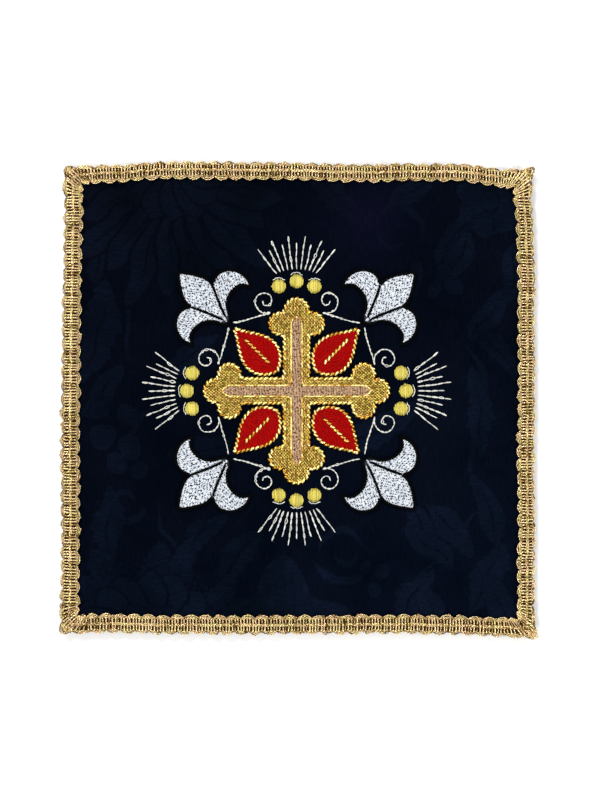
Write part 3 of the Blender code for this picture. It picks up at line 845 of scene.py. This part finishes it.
def rayon(name, dark, light, roughness, gloss=0.5, sheen=0.08):
    """Rayon embroidery thread, 0.4 mm thick: two bright plies twisted loosely, so light runs in short bars.

    The plies turn once in 0.9 mm, and in each groove between them the colour is dimmed to 0.72 as
    painted shade. Each stitch's tone picks its colour between dark and light.
    """
    made, add, shader = new_material(
        name, Roughness=roughness, Specular_IOR_Level=gloss, Sheen_Weight=sheen, Sheen_Roughness=0.35)
    groove = twist(add, 0.9, 2.0, 0.25, 0.72)
    tone = add("Attribute", attribute_name="tone").outputs["Fac"]
    colour = add("Mix", Factor=tone, A=linear(dark), B=linear(light), data_type="RGBA")
    # painted shade: the colour is dimmed in each groove between the plies
    shaded = add("VectorMath", colour, Scale=groove, operation="SCALE")
    bump = add("Bump", Height=groove, Strength=0.5, Distance=0.00008)
    feed(shader, Base_Color=shaded, Normal=bump)
    return made


def running(line, length=RUNNING_LENGTH):
    """Two layers of running stitch along a line, the second parted a little from the first."""
    count = max(1, round(line_length(line) / length))
    places = np.linspace(0.0, line_length(line), count + 1)
    places[1:-1] += needle.uniform(-0.25, 0.25, count - 1)
    point, left = along_line(line, places)
    point = point + left * needle.normal(0.0, 0.07, (count + 1, 1))
    apart = needle.uniform(0.06, 0.4, count) * np.where(needle.random(count) < 0.75, 0.5, 1.3)
    out = lay(point[:-1], point[1:], *RUNNING_OUT, bend=apart)
    shifted = point + left * needle.normal(0.0, 0.05, (count + 1, 1))
    back = lay(shifted[1:], shifted[:-1], *RUNNING_BACK, bend=apart * needle.uniform(0.0, 1.0, count))
    return [out, back]


def ray_lines():
    """A fan of eleven rays past each end of the cross, long and short in turn."""
    lines = []
    for turn in QUARTERS:
        for number, angle in enumerate(np.radians(RAY_TURNS)):
            reach = RAY_REACH[number % 2]
            ends = compass(angle) * [RAY_START, (reach, reach * RAY_SPREAD)] + (RAY_MIDDLE, 0.0)
            lines.append(turned(ends, turn))
    return lines


def tendril_lines():
    """Eight scrolls: each leaves a lily's foot on a curve and winds into a closing spiral."""
    share = np.linspace(0, 1, 40)
    angle = np.radians(SPIRAL_START + SPIRAL_TURN * share)
    radius = SPIRAL_RADIUS * (1 - SPIRAL_CLOSE * share)
    spiral = radius[:, None] * compass(angle) + SPIRAL_MIDDLE
    scroll = np.concatenate([cubic((*TENDRIL_LEAD, spiral[0])), spiral[1:]])
    return [turned(scroll * (1, side), turn) for turn in DIAGONALS for side in (1, -1)]


silver_white = rayon("silver_white_rayon", "#a9aba4", "#f4f2e6", 0.32)
runs = [layer for line in ray_lines() for layer in running(line)]
runs += [layer for line in tendril_lines() for layer in running(line, TENDRIL_STITCH)]
sewn("rays_and_tendrils", runs, silver_white, ["lily_white_1"])

# The lilies: each is stitched in three parts over padding, in white rayon that lies at a different
# slant on each, with the dark padding just showing at the needle holes. Black thread outlines them.
PADDING_LOW = -0.2
PADDING_HIGH = 0.5
# fibres of the felt to the millimetre, thicker than real ones so that they show
FELT_FIBRES = 2.5
FILL_LIFT = 0.56
LILY_CURVES = (
    ((33.5, 0.0), (33.5, 1.4), (34.4, 2.0), (35.5, 2.2)),
    ((35.5, 2.2), (38.5, 3.0), (41.0, 6.5), (40.5, 10.5)),
    ((40.5, 10.5), (40.2, 13.0), (38.5, 14.2), (36.5, 14.0)),
    ((36.5, 14.0), (40.0, 17.0), (46.5, 15.5), (48.0, 10.5)),
    ((48.0, 10.5), (48.6, 8.5), (47.6, 6.5), (46.6, 5.3)),
    ((46.6, 5.3), (50.0, 6.5), (54.0, 3.5), (58.5, 0.0)),
)
# fills: row spacing, stitch length, least length, step, hole, looseness
WHITE_FILL = (0.4, 1.9, 0.45, 0.382, 0.32, 0.35)
# stitches: half thickness, sink, loft
WHITE_STITCH = (0.21, 0.34, 0.16)
# ropes: pitch, stitch length, lean, half thickness, lift
BLACK_VEIN = (0.9, 2.0, 0.2, 0.42, 0.56)
BLACK_EDGE = (0.9, 2.0, 0.25, 0.48, 0.44)
LILY_VEIN = ((35.5, 0.6), (40.0, 2.2), (44.0, 4.0), (46.6, 5.3))
MIRROR = np.array([1.0, -1.0])


def joined(curves):
    """Cubic curves end to end as one line of points."""
    return np.concatenate([cubic(curve)[:-1] for curve in curves] + [[curves[-1][-1]]])


def both_halves(half):
    """A closed outline from its upper half, which starts and ends on the axis."""
    return np.concatenate([half, half[-2:0:-1] * MIRROR])


def fill_rows(outline, turn, spacing, length, least=0.45, step=0.382, hole=0.0, loose=0.12):
    """Ends of the stitches that fill an outline: rows spacing apart, slanted by turn, cut every length.

    Each row's holes lie a step of a stitch on from the row before it, give or take the loose share
    of a stitch, and about hole is left between a stitch and the next.
    """
    near = turned(outline, -turn)
    far = np.roll(near, -1, axis=0)
    first, last = math.floor(near[:, 1].min() / spacing), math.ceil(near[:, 1].max() / spacing)
    rows = (np.arange(first, last) + 0.5) * spacing
    level = rows[:, None]
    crossed = (near[:, 1] <= level) != (far[:, 1] <= level)
    fall = np.where(crossed, far[:, 1] - near[:, 1], 1.0)
    place = np.where(crossed, near[:, 0] + (level - near[:, 1]) / fall * (far[:, 0] - near[:, 0]), np.inf)
    place = np.sort(place, axis=1)[:, :len(near) // 2 * 2].reshape(len(rows), -1, 2)
    shift = (np.arange(len(rows)) * step % 1)[:, None, None]
    first, last = math.floor(near[:, 0].min() / length), math.ceil(near[:, 0].max() / length)
    cut = np.arange(first - 1, last + 1) + shift
    uneven = needle.uniform(-loose, loose, cut.shape[:1] + (1, cut.shape[2] + 1))
    wide = hole * needle.uniform(0.2, 1.8, uneven.shape) / 2
    low = np.maximum(place[..., :1], (cut + uneven[..., :-1]) * length + wide[..., :-1])
    high = np.minimum(place[..., 1:], (cut + 1 + uneven[..., 1:]) * length - wide[..., 1:])
    kept = high - low > least
    held = np.broadcast_to(level[..., None], kept.shape)[kept] + needle.normal(0.0, 0.025, kept.sum())
    return [turned(np.column_stack([end[kept], held]), turn) for end in (low, high)]


def filled(outline, turn, rows, half, sink, loft):
    """The stitches that fill an outline, in rows that are turned, spaced and cut as fill_rows says."""
    return lay(*fill_rows(outline, turn, *rows), half, FILL_LIFT, sink, loft, outline)


def stem(line, pitch, length, lean, half, lift, loft=0.2, closed=True):
    """A rope of slanting stitches along a line: one each pitch, from its right side to its left."""
    line = np.concatenate([line, line[:1]]) if closed else line
    total = line_length(line)
    count = max(2, round(total / pitch))
    places = np.arange(count) * total / count + needle.uniform(-0.06, 0.06, count) * pitch
    ends = places + length
    ends = ends % total if closed else np.minimum(ends, total)
    point, left = along_line(line, np.clip(places, 0.0, total))
    goal, goal_left = along_line(line, ends)
    return lay(point - left * lean, goal + goal_left * lean, half, lift + loft, loft + 0.3)


def turns_left(corners):
    """True for each triangle whose corners run anticlockwise."""
    one, two = corners[:, 1] - corners[:, 0], corners[:, 2] - corners[:, 0]
    return one[:, 0] * two[:, 1] - one[:, 1] * two[:, 0] > 0


def padding(name, outlines, material, nodes, high=PADDING_HIGH, inset=0.1):
    """Make the padding under a motif: flat plates a little smaller than their outlines."""
    points, faces = [], []
    for outline in outlines:
        inward = left_of(np.roll(outline, -1, axis=0) - np.roll(outline, 1, axis=0))
        x, y = outline.T
        if (x * np.roll(y, -1) - y * np.roll(x, -1)).sum() < 0:
            outline, inward = outline[::-1], -inward[::-1]
        flat = outline + inward * inset + MOTIF_CENTRE
        first, count = sum(map(len, points)), len(flat)
        here = np.arange(count)
        there = (here + 1) % count
        ground = cloth_height(flat - off_centre)
        points += [raised(flat, ground + step) for step in (PADDING_LOW, high)]
        fan = np.array(tessellate_polygon([[Vector((*spot, 0.0)) for spot in flat]]))
        fan = np.where(turns_left(flat[fan])[:, None], fan, fan[:, ::-1])
        faces += [first + fan[:, ::-1], first + count + fan]
        faces.append(first + np.stack([here, there, count + there, count + here], axis=1))
    piece = make_piece(name, np.concatenate(points), faces)
    piece.data.set_sharp_from_angle(angle=SHARP_TURN)
    return dress(piece, material, nodes)


def felt(name, colour):
    """Wool felt padding: matt and furry, seen only as specks between the stitches."""
    made, add, shader = new_material(name, Roughness=0.95, Specular_IOR_Level=0.1, Sheen_Weight=0.2)
    place = add("TexCoord").outputs["Object"]
    fur = add("TexNoise", Vector=place, Scale=FELT_FIBRES / MM, Detail=2.0)
    shade = add("Mix", Factor=fur, A=linear("#040507"), B=linear(colour), data_type="RGBA")
    bump = add("Bump", Height=fur, Strength=0.6, Distance=0.0001)
    feed(shader, Base_Color=shade, Normal=bump)
    return made


white_rayon = rayon("white_rayon", "#b4bbc4", "#eef2f6", 0.4)
black_rayon = rayon("black_rayon", "#020202", "#050506", 0.8, 0.03, 0.0)
lily_nodes = [f"lily_white_{number}" for number in range(1, 5)]
lily_half = joined(LILY_CURVES)
vein = cubic(LILY_VEIN)
foot = joined(LILY_CURVES[:1])
curl = np.concatenate([joined(LILY_CURVES[1:5]), vein[-2::-1]])
tongue = both_halves(np.concatenate([foot[:1], vein[:-1], joined(LILY_CURVES[5:])]))
lily_outlines, white_layers, black_layers = [], [], []
for turn in DIAGONALS:
    lily_outlines.append(turned(both_halves(lily_half), turn))
    white_layers.append(filled(turned(tongue, turn), turn + 4, WHITE_FILL, *WHITE_STITCH))
    for side in (1, -1):
        shape = turned(curl * (1, side), turn)
        white_layers.append(filled(shape, turn + 62 * side, WHITE_FILL, *WHITE_STITCH))
        black_layers.append(stem(turned(vein * (1, side), turn), *BLACK_VEIN, closed=False))
    black_layers.append(stem(lily_outlines[-1], *BLACK_EDGE))
padding("lily_padding", lily_outlines, felt("navy_felt", "#3c434e"), lily_nodes)
sewn("lily_stitches", white_layers, white_rayon, lily_nodes)
sewn("lily_outlines", black_layers, black_rayon, lily_nodes)

# The petals: red rayon laid slanting from a middle rib to each edge, over red padding. A rope of
# gilt thread, one slanting stitch half over the last, edges them and runs down the rib.
PETAL_CURVES = (
    ((9.6, 0.0), (11.0, 4.6), (15.5, 7.8), (20.5, 6.0)),
    ((20.5, 6.0), (24.5, 4.5), (27.0, 1.6), (31.0, 0.0)),
)
PETAL_RIB = ((13.5, 0.0), (25.5, 0.0))
RED_FILL = (0.38, 3.4)
RED_STITCH = (0.21, 0.26, 0.12)
ROPE = (1.7, 1.75, 0.45, 0.44, 0.46)
RIB_ROPE = (1.7, 1.75, 0.45, 0.44, 0.62)
red_rayon = rayon("red_rayon", "#8c0000", "#b00200", 0.5, 0.05, 0.0)
# with no plies each stitch's ends are mixed towards brown: painted shade where it dips, so each bead looks
# lit in its middle
gilt_rope = metal_thread("gilt_rope_thread", "#b4802a", "#ecc860", "#fff4ac", 0.34, 0.0, 2.1)
petal_nodes = [f"petal_red_{number}" for number in range(1, 5)]
petal_half = joined(PETAL_CURVES)
petal_outlines, red_layers, petal_ropes = [], [], []
for turn in DIAGONALS:
    petal_outlines.append(turned(both_halves(petal_half), turn))
    for side in (1, -1):
        shape = turned(petal_half * (1, side), turn)
        red_layers.append(filled(shape, turn + 38 * side, RED_FILL, *RED_STITCH))
    petal_ropes.append(stem(petal_outlines[-1], *ROPE))
    petal_ropes.append(stem(turned(PETAL_RIB, turn), *RIB_ROPE, closed=False))
padding("petal_padding", petal_outlines, felt("red_felt", "#5e0604"), petal_nodes)
sewn("petal_stitches", red_layers, red_rayon, petal_nodes)
sewn("petal_ropes", petal_ropes, gilt_rope, petal_nodes)

# The budded cross: short gold stitches in rows along each arm, mitred at the middle, round a tan
# inset worked slantwise. The same gilt rope follows its outline, and a finer one the inset's.
ARM_HALF = 4.3
SIDE_BUD = (23.4, 5.6)
SIDE_BUD_R = 3.9
TIP_BUD_X = 28.0
TIP_BUD_R = 4.2
INSET_HALF = 1.9
INSET_END = (24.0, 26.4)
GOLD_FILL = (0.5, 1.15, 0.4, 0.5, 0.16, 0.08)
GOLD_STITCH = (0.25, 0.36, 0.1)
TAN_FILL = (0.43, 1.6, 0.4, 0.382, 0.28, 0.3)
TAN_STITCH = (0.2, 0.36, 0.08)
FINE_ROPE = (1.3, 1.9, 0.1, 0.24, 0.62)


def arc(centre, radius, start, end, steps=16):
    """Points along an arc between two angles."""
    return centre + radius * compass(np.linspace(start, end, steps))


def arm_half():
    """One side of an arm: its inner corner, the side bud and half the tip bud, cut where they cross."""
    neck = math.asin((ARM_HALF - SIDE_BUD[1]) / SIDE_BUD_R)
    gap = math.dist(SIDE_BUD, (TIP_BUD_X, 0.0))
    lean = math.atan2(-SIDE_BUD[1], TIP_BUD_X - SIDE_BUD[0])
    at_side = math.acos((gap ** 2 + SIDE_BUD_R ** 2 - TIP_BUD_R ** 2) / (2 * gap * SIDE_BUD_R))
    at_tip = math.acos((gap ** 2 + TIP_BUD_R ** 2 - SIDE_BUD_R ** 2) / (2 * gap * TIP_BUD_R))
    side = arc(SIDE_BUD, SIDE_BUD_R, math.pi - neck, lean + at_side)
    tip = arc((TIP_BUD_X, 0.0), TIP_BUD_R, lean + math.pi - at_tip, 0.0)
    return np.concatenate([[(ARM_HALF, ARM_HALF)], side, tip[1:]])


half = arm_half()
inset_half = np.array([(INSET_HALF, INSET_HALF), (INSET_END[0], INSET_HALF), (INSET_END[1], 0.0)])
arm = np.concatenate([half, half[-2::-1] * MIRROR])
slotted = np.concatenate([arm, inset_half * MIRROR, inset_half[-2::-1]])
cross_outline = np.concatenate([turned(arm, -turn) for turn in QUARTERS])
inset_arm = np.concatenate([inset_half, inset_half[-2::-1] * MIRROR])
inset_outline = np.concatenate([turned(inset_arm[:-1], -turn) for turn in QUARTERS])
gold_layers = [filled(turned(slotted, turn), turn, GOLD_FILL, *GOLD_STITCH) for turn in QUARTERS]
tan_layers = [filled(inset_outline, 58, TAN_FILL, *TAN_STITCH)]
# with no plies each short stitch is dimmed towards its ends by deep: painted shade, which leaves a painted
# bright dot on each one
gilt_film = metal_thread("gilt_film_thread", "#8c6e24", "#a4893e", "#e0c870", 0.42, 0.0, 1.2,
                         deep=(0.66, 0.54, 0.3))
tan_rayon = rayon("tan_rayon", "#9c7650", "#dcb48e", 0.45)
padding("cross_padding", [cross_outline], felt("brown_felt", "#4b3310"), ["cross_gold"])
sewn("cross_stitches", gold_layers, gilt_film, ["cross_gold"], (0.35, 0.65))
sewn("cross_inset_stitches", tan_layers, tan_rayon, ["cross_gold"])
edge_layers = [stem(cross_outline, *ROPE), stem(inset_outline, *FINE_ROPE, loft=0.1)]
sewn("cross_ropes", edge_layers, gilt_rope, ["cross_gold"])

# The discs: a trio of padded spots past each end of the cross, in one layer of bright yellow satin
# stitch, with a thin pale stitch curving round each one's outer side.
DISC_PLACES = ((36.4, -6.2), (38.2, 0.0), (36.4, 6.2))
DISC_R = 2.35
DISC_ROW = 0.33
# half thickness, lift, sink, loft
DISC_STITCH = (0.2, 0.42, 0.36, 0.52)
SICKLE_R = 3.1
SICKLE_SPAN = 0.75
SICKLE_STITCH = 1.1
disc_nodes = [f"disc_gold_{number}" for number in range(1, 13)]
disc_layers, disc_outlines, sickle_layers = [], [], []
for turn in QUARTERS:
    for place in DISC_PLACES:
        spot = turned(place, turn)
        ring = arc(spot, DISC_R * 1.02, 0.0, 2 * math.pi, 29)[:-1]
        disc_outlines.append(arc(spot, DISC_R, 0.0, 2 * math.pi, 25)[:-1])
        start, stop = fill_rows(ring, 84 + 12 * needle.random(), DISC_ROW, 40.0, 0.3)
        way = unit(stop - start)
        start = start - way * needle.uniform(-0.1, 0.22, (len(way), 1))
        stop = stop + way * needle.uniform(-0.1, 0.22, (len(way), 1))
        disc_layers.append(lay(start, stop, *DISC_STITCH, ring, 2.0))
        facing = math.radians(turn)
        sickle = arc(spot, SICKLE_R, facing - SICKLE_SPAN, facing + SICKLE_SPAN, 9)
        sickle_layers += running(sickle, SICKLE_STITCH)[:1]
yellow_rayon = rayon("bright_yellow_rayon", "#a89826", "#ecdc66", 0.4)
ochre_felt = felt("ochre_felt", "#8f7a20")
padding("disc_padding", disc_outlines, ochre_felt, disc_nodes, 0.6, 0.4)
sewn("disc_stitches", disc_layers, yellow_rayon, disc_nodes)
sewn("disc_sickles", sickle_layers, silver_white, disc_nodes)

# The table and the light: a plain pale laminate top under the pall, and three soft lamps round it
# under a pale sky. They stand for the studio and are no part of the pall.
FLOOR_HALF = 1.5
floor_points = np.array([(-1, -1, 0), (1, -1, 0), (1, 1, 0), (-1, 1, 0)]) * FLOOR_HALF / MM
floor = make_piece("table_top", floor_points, [np.arange(4)[None]])
floor.data.materials.append(new_material(
    "pale_laminate", Base_Color=linear("#f4f3f0"), Roughness=0.9, Specular_IOR_Level=0.0)[0])


def add_lamp(name, place, size, watts):
    """A square soft lamp that faces the pall."""
    lamp = bpy.data.lights.new(name, "AREA")
    lamp.size = size
    lamp.energy = watts
    holder = bpy.data.objects.new(name, lamp)
    holder.location = place
    holder.rotation_euler = (-holder.location).to_track_quat("-Z", "Y").to_euler()
    bpy.context.collection.objects.link(holder)


add_lamp("key_lamp", (-0.45, 0.75, 0.7), 0.35, 11.0)
add_lamp("side_lamp", (0.8, -0.15, 0.55), 0.3, 6.0)
add_lamp("near_lamp", (-0.2, -0.85, 0.6), 0.3, 5.0)

world = bpy.data.worlds.new("studio")
world.use_nodes = True
feed(world.node_tree.nodes["Background"], Color=linear("#f2f4f8"), Strength=0.55)
bpy.context.scene.world = world
bpy.context.scene.view_settings.view_transform = "Standard"

# The camera looks straight down, as the photograph was taken, through a long lens that keeps the
# sides of the square parallel.
LENS_MM = 100.0
SENSOR_MM = 36.0
VIEW_HIGH = 0.280
VIEW_MIDDLE = (0.0005, -0.0002)
camera_data = bpy.data.cameras.new("camera")
camera_data.lens = LENS_MM
camera_data.sensor_width = SENSOR_MM
camera = bpy.data.objects.new("camera", camera_data)
camera.location = (*VIEW_MIDDLE, VIEW_HIGH * LENS_MM / SENSOR_MM)
bpy.context.collection.objects.link(camera)
bpy.context.scene.camera = camera
